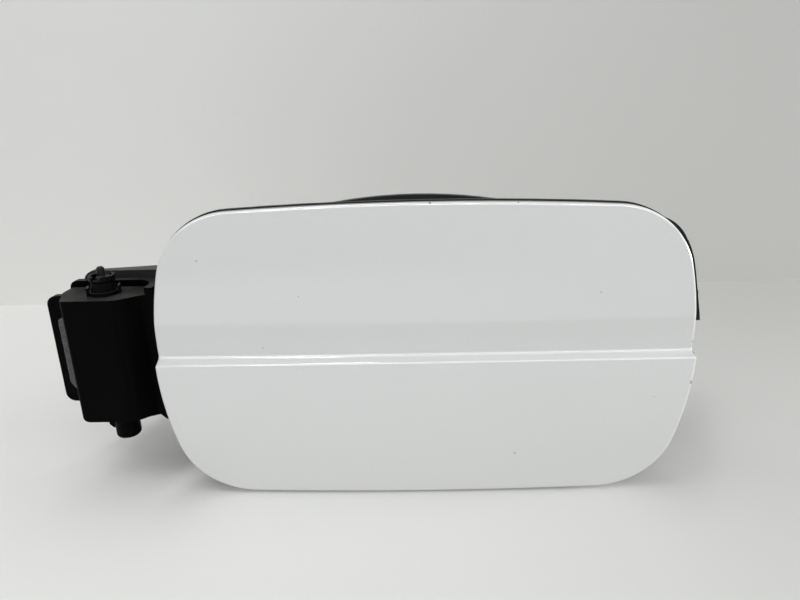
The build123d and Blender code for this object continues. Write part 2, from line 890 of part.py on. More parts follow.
def make_hinge_spring():
    """Bowed leaf between the box's left wall and the knuckle's cam nose."""
    wall_x = box_left_x + box_wall
    knuckle_x = hinge_x - max(arm_knuckle_radius, arm_heel_offset + arm_thickness / 2)
    back_x = wall_x + seat_clearance + leaf_thickness / 2
    crown_x = knuckle_x - leaf_gap - leaf_thickness / 2
    crown_y = hinge_y + (leaf_rear - leaf_front) / 2
    bow = ThreePointArc((back_x, hinge_y - leaf_front), (crown_x, crown_y), (back_x, hinge_y + leaf_rear))
    return Pos(0, 0, box_mid_z - leaf_height / 2) * extrude(trace(bow, leaf_thickness), amount=leaf_height)


def make_housing_screws():
    """Four screws from behind the bowl's flange into the hinge box's base."""
    length = flange_thickness + base_thickness - housing_screw_cover - seat_clearance
    return [Pos(x, 0, z) * Rot(90, 0, 0) * screw(length) for x, z in bar_screw_places()]


def flange_outline(grow):
    """Outline of the bowl's mouth flange, grown by a margin."""
    return Pos(bowl_shift_x, 0) * crowned_outline(
        flange_width + 2 * grow,
        flange_height + 2 * grow,
        flange_side_bow_radius + grow,
        flange_top_bow_radius + grow,
        flange_top_bow_radius + grow,
        flange_corner_radius + grow,
    )


def tub(grow, depth):
    """Drafted tub behind the flange, from a mouth of the given margin."""
    mouth = front_plane(flange_front_y) * flange_outline(grow)
    floor = front_plane(depth) * flange_outline(grow - bowl_draft)
    return loft([mouth, floor], ruled=True)


def ear_outline():
    """Outline of the flange's ear round the hinge pocket."""
    return panel(ear_left_x, -flange_width / 2, ear_bottom_z, ear_top_z, ear_round)


def clip_place(side):
    """Height of the flat where a spring clip sits, above or below the tub."""
    nearest_x = clip_x - abs(bowl_shift_x) - clip_pad_width / 2
    tub_half = flange_height / 2 - flange_margin + bowl_wall
    return side * bowed_z(tub_half, flange_top_bow_radius, nearest_x)


def make_filler_bowl():
    """Moulded bowl: flange, drafted tub, hinge pocket, neck collar, drain, clip pads and lock seat."""
    full_flange = flange_outline(0) + ear_outline()
    bowl = slab(full_flange, flange_front_y, 0)
    lip = make_face(Polyline(
        (ear_left_x + ear_round, flange_front_y),
        (box_end_x + ear_lip_end, flange_front_y),
        (box_end_x + ear_lip_end, ear_lip_depth),
        (ear_left_x + ear_round, 0),
        close=True,
    ))
    bowl += Pos(0, 0, ear_top_z - ear_lip_height) * extrude(lip, amount=ear_lip_height)
    bowl += tub(bowl_wall - flange_margin, bowl_depth)
    pocket_back = pocket_depth + bowl_wall
    pocket = block(
        pocket_left_x - bowl_wall,
        pocket_right_x,
        flange_front_y,
        pocket_back,
        pocket_bottom_z - bowl_wall,
        pocket_top_z + bowl_wall,
    )
    pocket = fillet(pocket.edges().filter_by(Axis.Z).group_by(Axis.X)[0], pocket_round)
    bowl += pocket
    pad_half = clip_pad_width / 2
    for side in (-1, 1):
        for x in (-clip_x, clip_x):
            low, high = sorted((clip_place(side) - side * clip_pad_height, clip_place(side)))
            front = clip_start_y - clip_pad_lead
            bowl += block(x - pad_half, x + pad_half, front, clip_start_y + clip_length, low, high)
    bowl += rod_x(lock_y, lock_z, grommet_radius + bowl_wall, lug_outer_x, lock_face_x)
    for z in lock_screw_heights():
        bowl += rod_x(lock_middle_y(), z, lock_boss_radius, lug_outer_x, lock_face_x)
    bowl += rod_y(0, 0, neck_collar_radius, bowl_depth - bowl_wall - neck_collar_front, bowl_depth + neck_collar_back)
    drain = rod_y(drain_x, drain_z, drain_radius, bowl_depth - bowl_wall, bowl_depth + drain_length)
    bowl += chamfer(drain.edges().group_by(Axis.Y)[-1], drain_lead)
    inside = tub(-flange_margin, bowl_depth - bowl_wall)
    inside -= rod_y(0, 0, neck_collar_radius, bowl_depth - bowl_wall - neck_collar_front, bowl_depth)
    bowl -= inside
    bowl -= block(
        pocket_left_x,
        pocket_right_x,
        2 * flange_front_y,
        pocket_depth,
        pocket_bottom_z,
        pocket_top_z,
    )
    bowl -= rod_y(0, 0, neck_collar_radius - neck_collar_wall, 0, far_back_y)
    bowl -= rod_y(drain_x, drain_z, drain_bore, 0, far_back_y)
    bowl -= rod_x(lock_y, lock_z, grommet_radius, 0, far_back_y + lug_outer_x)
    for z in lock_screw_heights():
        bowl -= rod_x(lock_middle_y(), z, screw_radius, lock_face_x - lock_screw_bite, lock_face_x)
    for x, z in bar_screw_places():
        bowl -= rod_y(x, z, screw_radius + seat_clearance, flange_front_y, 0)
    return bowl


def make_neck_seal():
    """Rubber gaiter in the neck collar: groove ring outside, lip on the filler pipe inside."""
    outer = neck_collar_radius - neck_collar_wall - seat_clearance
    front = bowl_depth - bowl_wall - neck_collar_front
    back = bowl_depth + neck_collar_back
    lip_back = front + neck_lip_length
    profile = [
        (outer, front),
        (neck_bore_radius, front),
        (neck_bore_radius, lip_back),
        (neck_bore_radius + neck_lip_wall, lip_back),
        (neck_bore_radius + neck_lip_wall, front + neck_web),
        (outer - neck_lip_wall, front + neck_web),
        (outer - neck_lip_wall, back),
        (outer, back),
    ]
    return Rot(-90, 0, 0) * turned(profile, 0, 0)


def make_rim_seal():
    """Rubber ring between the flange and the body, open only at the hinge ear's root."""
    ring = flange_outline(-seal_inset) - flange_outline(-seal_inset - seal_width)
    pocket_gap = panel(
        2 * ear_left_x,
        -flange_width / 4,
        pocket_bottom_z - bowl_wall - seat_clearance,
        pocket_top_z + bowl_wall + seat_clearance,
        seal_end_round,
    )
    return slab(ring - pocket_gap, 0, seal_height)


def make_bump_stops():
    """Two rubber caps on the carrier's posts, each just short of the bowl's flange."""
    stops = []
    for x, z in stop_places():
        cap = rod_y(x, z, stop_radius, stop_shoulder_y, stop_tip_y)
        cap = fillet(cap.edges().group_by(Axis.Y)[-1], stop_tip_round)
        bore = rod_y(x, z, stop_post_radius + seat_clearance, stop_shoulder_y, stop_tip_y - stop_cap_floor)
        stops.append(cap - bore)
    return stops


def make_body_clips():
    """Four spring clips on the tub, sprung outwards against the body opening."""
    clips = []
    back = clip_start_y + clip_length
    for side in (-1, 1):
        seat_z = clip_place(side)
        lift = side * clip_thickness / 2
        line = Polyline(
            (clip_start_y, seat_z + lift),
            (back, seat_z + lift),
            (back + clip_thickness, seat_z + lift + side * clip_thickness),
            (back - clip_tail, seat_z + lift + side * clip_rise),
            (clip_start_y, seat_z + lift + side * clip_tip_rise),
        )
        strip = Plane.YZ * trace(line, clip_thickness)
        for x in (-clip_x, clip_x):
            clips.append(Pos(x - clip_width / 2, 0, 0) * extrude(strip, amount=clip_width, dir=(1, 0, 0)))
    return clips


def lock_middle_y():
    """Depth of the lock housing's middle."""
    return lock_y + lock_body_offset_y


def lock_screw_heights():
    """Heights of the two lock screws."""
    reach = lock_body_height / 2 + lock_ear_height / 2
    return (lock_z - reach, lock_z + reach)


def make_lock_housing():
    """Lock drive housing on the bowl's right side, with ears, a guide bore and a plug socket."""
    middle_y = lock_middle_y()
    half_width = lock_body_width / 2
    half_height = lock_body_height / 2
    end_x = lock_face_x + lock_body_length
    body = block(
        lock_face_x,
        end_x,
        middle_y - half_width,
        middle_y + half_width,
        lock_z - half_height,
        lock_z + half_height,
    )
    body = fillet(body.edges().filter_by(Axis.X), lock_body_round)
    ear = block(
        lock_face_x,
        lock_face_x + lock_ear_thickness,
        middle_y - lock_boss_radius,
        middle_y + lock_boss_radius,
        lock_z - half_height - lock_ear_height,
        lock_z + half_height + lock_ear_height,
    )
    body += fillet(ear.edges().filter_by(Axis.X), lock_boss_radius - seat_clearance)
    socket_x = end_x - lock_socket_width / 2 - lock_socket_inset
    socket_back = middle_y + half_width + lock_socket_length
    body += block(
        socket_x - lock_socket_width / 2,
        socket_x + lock_socket_width / 2,
        middle_y + half_width - lock_body_round,
        socket_back,
        lock_z - lock_socket_depth / 2,
        lock_z + lock_socket_depth / 2,
    )
    body -= block(
        socket_x - lock_socket_width / 2 + lock_socket_wall,
        socket_x + lock_socket_width / 2 - lock_socket_wall,
        middle_y + half_width + lock_socket_wall,
        socket_back,
        lock_z - lock_socket_depth / 2 + lock_socket_wall,
        lock_z + lock_socket_depth / 2 - lock_socket_wall,
    )
    bore_end = lock_pin_tip_x + lock_pin_length + 3 * lock_pin_fit
    body -= rod_x(lock_y, lock_z, lock_pin_radius + lock_pin_fit, lock_face_x, bore_end)
    for z in lock_screw_heights():
        body -= rod_x(middle_y, z, screw_radius + seat_clearance, lock_face_x, lock_face_x + lock_ear_thickness)
    return body


def make_lock_cover():
    """Lid on the outer end of the lock housing."""
    middle_y = lock_middle_y()
    half_width = lock_body_width / 2 + lock_cover_lip
    half_height = lock_body_height / 2 + lock_cover_lip
    start_x = lock_face_x + lock_body_length
    lid = block(
        start_x,
        start_x + lock_cover_thickness,
        middle_y - half_width,
        middle_y + half_width,
        lock_z - half_height,
        lock_z + half_height,
    )
    lid = fillet(lid.edges().filter_by(Axis.X), lock_body_round)
    return fillet(lid.edges().group_by(Axis.X)[-1], lock_cover_lip)


def make_lock_grommet():
    """Rubber sleeve that seals the lock pin where it enters the bowl."""
    outer = grommet_radius - seat_clearance
    sleeve = rod_x(lock_y, lock_z, outer, lock_pin_tip_x, lock_face_x)
    return sleeve - rod_x(lock_y, lock_z, lock_pin_radius + grommet_gap, 0, far_back_y + lug_outer_x)


def make_lock_pin():
    """Sliding lock pin, drawn back."""
    pin = rod_x(lock_y, lock_z, lock_pin_radius, lock_pin_tip_x, lock_pin_tip_x + lock_pin_length)
    return fillet(pin.edges().group_by(Axis.X)[0], lock_pin_round)


def make_lock_screws():
    """Two screws through the lock housing's ears into the bowl."""
    length = lock_ear_thickness + lock_screw_bite - seat_clearance
    start_x = lock_face_x + lock_ear_thickness
    return [Pos(start_x, lock_middle_y(), z) * Rot(0, -90, 0) * screw(length) for z in lock_screw_heights()]


PIECES = {
    "outer_panel": make_outer_panel,
    "inner_carrier": make_inner_carrier,
    "hinge_arm": make_hinge_arm,
    "arm_screws": make_arm_screws,
    "hinge_housing": make_hinge_housing,
    "foam_strip": make_foam_strip,
    "upper_bush": make_upper_bush,
    "hinge_pin": make_hinge_pin,
    "hinge_spring": make_hinge_spring,
    "housing_screws": make_housing_screws,
    "filler_bowl": make_filler_bowl,
    "neck_seal": make_neck_seal,
    "rim_seal": make_rim_seal,
    "bump_stops": make_bump_stops,
    "body_clips": make_body_clips,
    "lock_housing": make_lock_housing,
    "lock_cover": make_lock_cover,
    "lock_grommet": make_lock_grommet,
    "lock_pin": make_lock_pin,
    "lock_screws": make_lock_screws,
}

os.makedirs("parts", exist_ok=True)
for node, make in PIECES.items():
    shape = make()
    if isinstance(shape, list):
        shape = Compound(children=shape)
    export_step(shape, f"parts/{node}.step")
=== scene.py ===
"""Looks of the car fuel door: paint, black mouldings, rubber, foam, steel, floor, light and camera."""
import json
from math import cos, radians, sin

import bpy
import numpy as np
from mathutils import Matrix, Vector


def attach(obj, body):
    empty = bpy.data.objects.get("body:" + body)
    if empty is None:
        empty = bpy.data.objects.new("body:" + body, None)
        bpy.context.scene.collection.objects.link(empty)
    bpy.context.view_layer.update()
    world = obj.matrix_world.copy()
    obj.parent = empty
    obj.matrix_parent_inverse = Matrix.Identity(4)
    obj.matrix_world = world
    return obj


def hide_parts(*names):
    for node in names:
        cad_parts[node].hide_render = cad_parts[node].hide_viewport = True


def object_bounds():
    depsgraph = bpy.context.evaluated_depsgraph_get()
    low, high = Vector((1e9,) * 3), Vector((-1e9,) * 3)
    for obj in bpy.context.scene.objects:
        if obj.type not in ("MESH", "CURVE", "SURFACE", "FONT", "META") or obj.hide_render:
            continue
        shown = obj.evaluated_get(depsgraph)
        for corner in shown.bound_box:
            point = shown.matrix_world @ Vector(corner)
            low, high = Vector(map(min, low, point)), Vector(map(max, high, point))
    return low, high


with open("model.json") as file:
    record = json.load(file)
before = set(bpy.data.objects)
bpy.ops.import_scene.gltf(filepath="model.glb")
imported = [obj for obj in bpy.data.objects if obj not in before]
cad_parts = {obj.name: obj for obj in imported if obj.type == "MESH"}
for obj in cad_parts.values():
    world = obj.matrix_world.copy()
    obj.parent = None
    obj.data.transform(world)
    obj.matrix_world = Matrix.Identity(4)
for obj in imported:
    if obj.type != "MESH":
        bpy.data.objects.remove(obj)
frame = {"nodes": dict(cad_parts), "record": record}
cad_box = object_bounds()
nodes = frame["nodes"]

# Camera: places in metres, angles in degrees, focal length in pixels of an image 800 pixels wide
CAMERA_PLACE = (-0.00545, -0.24422, 0.09254)
CAMERA_PITCH = 18.0
CAMERA_YAW = -0.87
CAMERA_ROLL = -1.28
CAMERA_NEAR = 0.01
FOCAL_PIXELS = 600.0
IMAGE_WIDTH = 800.0
SENSOR_WIDTH = 36.0

# Floor and wall behind the object, in metres, with the wall's turn in degrees
FLOOR_DROP = 0.0003
FLOOR_WIDTH = 5.0
FLOOR_FRONT = -2.5
WALL_PLACE = 0.246
WALL_TURN = 3.0
WALL_HEIGHT = 2.5
COVE_RADIUS = 0.0005
COVE_POINTS = 9

# Distances from the object between which floor and wall fade into the pale room, in metres
STAGE_NEAR = 0.46
STAGE_FAR = 0.72

# Colours of floor and wall at the left and the right of the object, paler at the left and darker at the
# right as painted light and shade, and where those sides lie, in metres
FLOOR_LEFT_LIT = (0.77, 0.775, 0.755, 1.0)
FLOOR_RIGHT_SHADED = (0.56, 0.565, 0.545, 1.0)
WALL_LEFT_LIT = (0.68, 0.685, 0.665, 1.0)
WALL_RIGHT_SHADED = (0.52, 0.525, 0.505, 1.0)
LEFT_ALONG = -0.25
RIGHT_ALONG = 0.30

# World: its colour, its strength as a light, and its strength as the room that camera and reflections see
WORLD_COLOUR = (0.97, 0.985, 1.0, 1.0)
WORLD_LIGHT = 0.17
WORLD_SEEN = 0.62

# Lamps: name, place, width and depth in metres, power in watts, and the beam's angle in degrees
LAMPS = (
    ("above", (-0.1, -0.40, 1.1), 2.8, 0.36, 4.6, 180.0),
    ("overhead", (-0.1, 0.06, 1.1), 1.6, 0.05, 4.6, 180.0),
    ("front", (0.05, -1.0, 0.60), 2.6, 0.16, 10.0, 180.0),
    ("right", (1.5, 0.0, 0.12), 0.5, 0.24, 0.95, 36.0),
)

# Foam pad: height of the slant at its lower end in metres, and its points round the section and along it
PAD_SLANT = 0.0056
PAD_ROUND = 40
PAD_ALONG = 90

# Colours of the paint where it is duller and brighter, of the dirt low down, and of the painted shade on the
# band below the crease
PAINT_DULL = (0.635, 0.645, 0.643, 1.0)
PAINT_BRIGHT = (0.665, 0.673, 0.672, 1.0)
LOW_DIRT = (0.60, 0.60, 0.575, 1.0)
BAND_SHADE = (0.52, 0.525, 0.52, 1.0)

# Heights on the flap, in metres: its crease, the ledge's root, and where the low dirt begins and is thickest
CREASE_UP = 0.0147
LEDGE_UP = 0.0013
DIRT_BEGINS = 0.01
DIRT_THICKEST = -0.05

# Distances from the flap's middle over which its rim begins, sideways and upwards, in metres
RIM_SIDE = (0.095, 0.100)
RIM_BRINK = (0.0555, 0.0580)

# Specks on the paint: place along the flap and up it, and radius, in metres
DARK_SPECKS = (
    (-0.0833, 0.0395, 0.00042),
    (-0.0464, 0.0258, 0.00030),
    (-0.0617, 0.0048, 0.00035),
    (0.0359, -0.0408, 0.00055),
    (0.0889, -0.0168, 0.00032),
    (0.0657, 0.0252, 0.00038),
)

# Chips in the rim's paint: place along, into and up the flap, and radius, in metres
EDGE_CHIPS = (
    (0.1034, -0.0294, 0.0040, 0.0006),
    (0.1035, -0.0294, 0.0022, 0.0006),
    (0.1030, -0.0334, -0.0112, 0.0008),
    (0.0028, -0.0303, 0.0592, 0.0004),
    (0.0341, -0.0302, 0.0589, 0.0004),
)

# Other colours: pale plastic where it is darker and lighter, and the brown bloom on steel
PALE_DARKER = (0.50, 0.50, 0.47, 1.0)
PALE_LIGHTER = (0.60, 0.60, 0.57, 1.0)
BROWN_BLOOM = (0.12, 0.065, 0.03, 1.0)


def put(tree, kind, inputs=None, **settings):
    """Adds a shader node, sets its options, and fills its inputs with values or other nodes' outputs."""
    node = tree.nodes.new("ShaderNode" + kind)
    for name, value in settings.items():
        setattr(node, name, value)
    for socket, value in (inputs or {}).items():
        if isinstance(value, bpy.types.NodeSocket):
            tree.links.new(value, node.inputs[socket])
        else:
            node.inputs[socket].default_value = value
    return node


def calc(tree, operation, first, second=0.0, third=0.0):
    """One step of arithmetic on numbers or outputs."""
    node = put(tree, "Math", {0: first, 1: second, 2: third}, operation=operation)
    return node.outputs[0]


def product(tree, first, *others):
    """Numbers or outputs multiplied together."""
    for factor in others:
        first = calc(tree, "MULTIPLY", first, factor)
    return first


def union(tree, first, *others):
    """The larger of several masks."""
    for mask in others:
        first = calc(tree, "MAXIMUM", first, mask)
    return first


def raised(tree, base, mask, amount):
    """The base, raised by the amount where the mask is 1."""
    return calc(tree, "MULTIPLY_ADD", mask, amount, base)


def fade(tree, value, start, end, low=0.0, high=1.0):
    """Goes smoothly from low to high while the value goes from start to end."""
    inputs = {"Value": value, "From Min": start, "From Max": end, "To Min": low, "To Max": high}
    node = put(tree, "MapRange", inputs, interpolation_type="SMOOTHSTEP")
    return node.outputs["Result"]


def blend_colours(tree, mask, under, over):
    """Lays one colour over another where the mask is 1."""
    node = put(tree, "Mix", {0: mask, 6: under, 7: over}, data_type="RGBA")
    return node.outputs[2]


def noise(tree, place, scale, detail=3.0, roughness=0.5):
    """Cloudy values between 0 and 1, with the scale in clouds per metre."""
    inputs = {"Vector": place, "Scale": scale, "Detail": detail, "Roughness": roughness}
    return put(tree, "TexNoise", inputs).outputs["Fac"]


def object_place(tree):
    """The point of the surface in the object's own metres."""
    return put(tree, "TexCoord").outputs["Object"]


def surface_normal(tree):
    """The direction that the surface faces."""
    return put(tree, "NewGeometry").outputs["Normal"]


def split_axes(tree, vector):
    """The X, Y and Z of a place or a direction."""
    return put(tree, "SeparateXYZ", {0: vector}).outputs


def length_of(tree, along, into, up=0.0):
    """Length of the straight line with these offsets."""
    offset = put(tree, "CombineXYZ", {0: along, 1: into, 2: up}).outputs[0]
    return put(tree, "VectorMath", {0: offset}, operation="LENGTH").outputs["Value"]


def grey(level, warm=0.0):
    """A nearly neutral colour, with a little more red than blue where warm is above 0."""
    return (level * (1.0 + warm), level, level * (1.0 - warm), 1.0)


def new_group(name, inputs, outputs):
    """An empty shader group with named number inputs and named outputs."""
    group = bpy.data.node_groups.new(name, "ShaderNodeTree")
    for label, value in inputs.items():
        socket = group.interface.new_socket(label, in_out="INPUT", socket_type="NodeSocketFloat")
        socket.default_value = value
    for label in outputs:
        group.interface.new_socket(label, in_out="OUTPUT", socket_type="NodeSocketFloat")
    source = group.nodes.new("NodeGroupInput")
    target = group.nodes.new("NodeGroupOutput")
    return group, source.outputs, target.inputs


def use_group(tree, group, **values):
    """Places a shared group in a material. Keywords are its input names."""
    node = tree.nodes.new("ShaderNodeGroup")
    node.node_tree = group
    for name, value in values.items():
        node.inputs[name].default_value = value
    return node.outputs


def moulded_grain_group():
    """Spark eroded mould texture: two sizes of fine noise as a height, and slow clouds as a gloss change."""
    group, given, result = new_group("moulded grain", {"Fineness": 1.0}, ("Height", "Clouds"))
    place = object_place(group)
    fine = noise(group, place, product(group, given["Fineness"], 4200.0), detail=2.0)
    coarse = noise(group, place, product(group, given["Fineness"], 1500.0), detail=2.0)
    height = raised(group, product(group, coarse, 0.4), fine, 0.6)
    group.links.new(height, result["Height"])
    clouds = noise(group, place, 60.0, detail=4.0, roughness=0.6)
    group.links.new(clouds, result["Clouds"])
    return group


def edge_wear_group():
    """Rubbed edges: where a rounded normal leaves the true one, broken up by noise."""
    inputs = {"Width": 0.0006, "Breakup": 900.0, "Amount": 1.0}
    group, given, result = new_group("edge wear", inputs, ("Mask",))
    rounded = put(group, "Bevel", {"Radius": given["Width"]}, samples=4).outputs["Normal"]
    facing = {0: rounded, 1: surface_normal(group)}
    dot = put(group, "VectorMath", facing, operation="DOT_PRODUCT").outputs["Value"]
    turned = fade(group, calc(group, "SUBTRACT", 1.0, dot), 0.02, 0.22)
    patches = noise(group, object_place(group), given["Breakup"], detail=4.0, roughness=0.65)
    broken = fade(group, patches, 0.34, 0.62)
    group.links.new(product(group, turned, broken, given["Amount"]), result["Mask"])
    return group


def settled_dust_group():
    """Dust that lies on faces that look up, thicker in patches and speckled with grains."""
    group, given, result = new_group("settled dust", {"Amount": 1.0}, ("Mask",))
    upward = split_axes(group, surface_normal(group))["Z"]
    lying = fade(group, upward, 0.25, 0.9)
    place = object_place(group)
    clouds = noise(group, place, 70.0, detail=4.0, roughness=0.6)
    patches = fade(group, clouds, 0.3, 0.75, low=0.35)
    grains = fade(group, noise(group, place, 2600.0, detail=2.0), 0.66, 0.74)
    cover = raised(group, product(group, patches, 0.6), grains, 0.5)
    group.links.new(product(group, lying, cover, given["Amount"]), result["Mask"])
    return group


def hairline_group():
    """Fine scratches in two directions: noise drawn out along a slanted line, cut to its thin crests."""
    group, given, result = new_group("hairlines", {"Density": 1.0}, ("Mask",))
    place = object_place(group)
    drawn_out = (35.0, 900.0, 1500.0)
    crests = []
    for slant in (0.35, -0.9):
        mapping = {"Vector": place, "Rotation": (0.0, slant, 0.0), "Scale": drawn_out}
        turned = put(group, "Mapping", mapping).outputs[0]
        lines = noise(group, turned, 1.0, detail=2.0, roughness=0.4)
        crests.append(fade(group, lines, 0.735, 0.765))
    group.links.new(product(group, union(group, *crests), given["Density"]), result["Mask"])
    return group


def spot_group():
    """A ragged spot round a place: right through the flap where Ball is 0, and a ball where it is 1."""
    inputs = {"Along": 0.0, "Into": 0.0, "Up": 0.0, "Radius": 0.001, "Ragged": 0.6, "Ball": 0.0}
    group, given, result = new_group("spot", inputs, ("Mask",))
    place = object_place(group)
    split = split_axes(group, place)
    along = calc(group, "SUBTRACT", split["X"], given["Along"])
    into = product(group, calc(group, "SUBTRACT", split["Y"], given["Into"]), given["Ball"])
    up = calc(group, "SUBTRACT", split["Z"], given["Up"])
    distance = calc(group, "DIVIDE", length_of(group, along, into, up), given["Radius"])
    torn = calc(group, "SUBTRACT", noise(group, place, 1800.0, roughness=0.6), 0.5)
    reach = raised(group, distance, torn, product(group, given["Ragged"], 2.0))
    group.links.new(fade(group, reach, 0.75, 1.05, low=1.0, high=0.0), result["Mask"])
    return group


moulded_grain = moulded_grain_group()
edge_wear = edge_wear_group()
settled_dust = settled_dust_group()
hairlines = hairline_group()
spot = spot_group()


def new_material(name):
    """A material with an empty Principled shader. Returns material, tree and shader."""
    material = bpy.data.materials.new(name)
    material.use_nodes = True
    tree = material.node_tree
    return material, tree, tree.nodes["Principled BSDF"]


def bump(tree, shader, height, strength, depth):
    """Feeds a height into the shader's normal, with the depth in metres."""
    inputs = {"Height": height, "Strength": strength, "Distance": depth}
    tree.links.new(put(tree, "Bump", inputs).outputs["Normal"], shader.inputs["Normal"])


def dirt_and_band_shade(tree, place, up):
    """Masks of a film of dirt in clouds low down, and of painted shade on the band between ledge and crease,
    darkest just under the crease.
    """
    clouds = noise(tree, place, 22.0, detail=4.0, roughness=0.6)
    low_film = product(tree, fade(tree, up, DIRT_BEGINS, DIRT_THICKEST, high=0.25), clouds)
    # Painted shade: the band under the crease is darkened most just below the crease and fades out towards
    # the ledge
    under_crease = fade(tree, up, CREASE_UP + 0.0006, CREASE_UP - 0.0008)
    thicker_up = fade(tree, up, LEDGE_UP, CREASE_UP, low=0.35)
    above_ledge = fade(tree, up, LEDGE_UP - 0.0003, LEDGE_UP + 0.0012)
    band_shade = product(tree, under_crease, thicker_up, above_ledge, 0.22)
    return low_film, band_shade


def paint_damage(tree, split):
    """Masks of the dark specks, of the chips in the rim, and of the rubbed stretches of the rim."""
    specks = [use_group(tree, spot, Along=x, Up=z, Radius=radius)["Mask"] for x, z, radius in DARK_SPECKS]
    chips = [use_group(tree, spot, Along=x, Into=y, Up=z, Radius=radius, Ragged=1.2, Ball=1.0)["Mask"]
             for x, y, z, radius in EDGE_CHIPS]
    side = fade(tree, calc(tree, "ABSOLUTE", split["X"]), *RIM_SIDE)
    brink = fade(tree, calc(tree, "ABSOLUTE", split["Z"]), *RIM_BRINK)
    worn = use_group(tree, edge_wear, Width=0.0005, Breakup=700.0, Amount=0.10)["Mask"]
    rubbed = product(tree, worn, union(tree, side, brink))
    return union(tree, *specks), union(tree, *chips), rubbed


def white_paint():
    """Gloss body paint: faint orange peel, hairlines, specks, chipped and rubbed edges, a film of dirt low
    down, and painted shade under the crease.
    """
    material, tree, shader = new_material("white_paint")
    place = object_place(tree)
    split = split_axes(tree, place)
    clouds = noise(tree, place, 14.0)
    low_film, band_shade = dirt_and_band_shade(tree, place, split["Z"])
    specks, chips, rubbed = paint_damage(tree, split)
    colour = blend_colours(tree, clouds, PAINT_DULL, PAINT_BRIGHT)
    colour = blend_colours(tree, low_film, colour, LOW_DIRT)
    # Painted shade on the band under the crease
    colour = blend_colours(tree, band_shade, colour, BAND_SHADE)
    colour = blend_colours(tree, product(tree, specks, 0.6), colour, grey(0.16, warm=0.08))
    colour = blend_colours(tree, rubbed, colour, grey(0.36, warm=0.02))
    colour = blend_colours(tree, chips, colour, grey(0.07, warm=0.06))
    tree.links.new(colour, shader.inputs["Base Color"])
    scratches = use_group(tree, hairlines, Density=1.0)["Mask"]
    spoiled = union(tree, specks, chips)
    rough = raised(tree, 0.26, clouds, 0.06)
    rough = raised(tree, rough, scratches, 0.10)
    rough = raised(tree, rough, spoiled, 0.3)
    tree.links.new(rough, shader.inputs["Roughness"])
    tree.links.new(raised(tree, 1.0, spoiled, -0.9), shader.inputs["Coat Weight"])
    shader.inputs["Coat Roughness"].default_value = 0.05
    shader.inputs["Coat IOR"].default_value = 1.9
    peel = noise(tree, place, 420.0, detail=2.0)
    height = raised(tree, peel, spoiled, -2.0)
    height = raised(tree, height, scratches, -0.15)
    bump(tree, shader, height, strength=0.12, depth=0.00005)
    return material


def black_moulding(name, level, rough, fineness=1.0, grain=0.35, dust=0.5, wear=0.4, gloss=0.05):
    """Black moulded plastic: mould grain, cloudy gloss, paler rubbed edges and dust on what looks up."""
    material, tree, shader = new_material(name)
    surface = use_group(tree, moulded_grain, Fineness=fineness)
    worn = use_group(tree, edge_wear, Width=0.0005, Amount=wear)["Mask"]
    dusty = use_group(tree, settled_dust, Amount=dust)["Mask"]
    scratches = use_group(tree, hairlines, Density=0.5)["Mask"]
    rubbed_level = level * 2.0 + 0.008
    scraped_level = level + 0.02
    colour = blend_colours(tree, surface["Clouds"], grey(level * 0.75), grey(level * 1.25, warm=-0.02))
    colour = blend_colours(tree, worn, colour, grey(rubbed_level, warm=-0.02))
    colour = blend_colours(tree, product(tree, scratches, 0.25), colour, grey(scraped_level))
    colour = blend_colours(tree, dusty, colour, grey(0.16, warm=0.03))
    tree.links.new(colour, shader.inputs["Base Color"])
    cloudy = fade(tree, surface["Clouds"], 0.25, 0.75, low=rough - 0.06, high=rough + 0.06)
    dulled = raised(tree, cloudy, dusty, 0.3)
    tree.links.new(raised(tree, dulled, worn, -0.10), shader.inputs["Roughness"])
    shader.inputs["Specular IOR Level"].default_value = gloss
    bump(tree, shader, surface["Height"], strength=grain, depth=0.00006)
    return material


def black_rubber(name):
    """Matt black rubber with a soft skin, a pale bloom in patches and fine pores."""
    material, tree, shader = new_material(name)
    place = object_place(tree)
    bloom = fade(tree, noise(tree, place, 90.0, detail=5.0, roughness=0.65), 0.45, 0.8)
    dusty = use_group(tree, settled_dust, Amount=0.3)["Mask"]
    colour = blend_colours(tree, product(tree, bloom, 0.35), grey(0.011), grey(0.034, warm=0.02))
    colour = blend_colours(tree, dusty, colour, grey(0.14, warm=0.03))
    tree.links.new(colour, shader.inputs["Base Color"])
    tree.links.new(fade(tree, bloom, 0.0, 1.0, low=0.62, high=0.80), shader.inputs["Roughness"])
    shader.inputs["Specular IOR Level"].default_value = 0.25
    pores = noise(tree, place, 2400.0)
    bump(tree, shader, pores, strength=0.4, depth=0.00008)
    return material


def grey_foam(name):
    """Closed cell foam: small rounded cells, matt and cloudy, darker where two cells meet."""
    material, tree, shader = new_material(name)
    place = object_place(tree)
    cells = put(tree, "TexVoronoi", {"Vector": place, "Scale": 1500.0}).outputs["Distance"]
    clouds = noise(tree, place, 240.0, detail=4.0, roughness=0.6)
    colour = blend_colours(tree, clouds, grey(0.075, warm=-0.01), grey(0.15, warm=-0.01))
    seams = fade(tree, cells, 0.25, 0.75, high=0.6)
    colour = blend_colours(tree, seams, colour, grey(0.045))
    tree.links.new(colour, shader.inputs["Base Color"])
    tree.links.new(fade(tree, clouds, 0.2, 0.8, low=0.84, high=0.96), shader.inputs["Roughness"])
    shader.inputs["Specular IOR Level"].default_value = 0.2
    height = raised(tree, product(tree, clouds, 0.7), cells, -0.8)
    bump(tree, shader, height, strength=0.6, depth=0.00025)
    return material


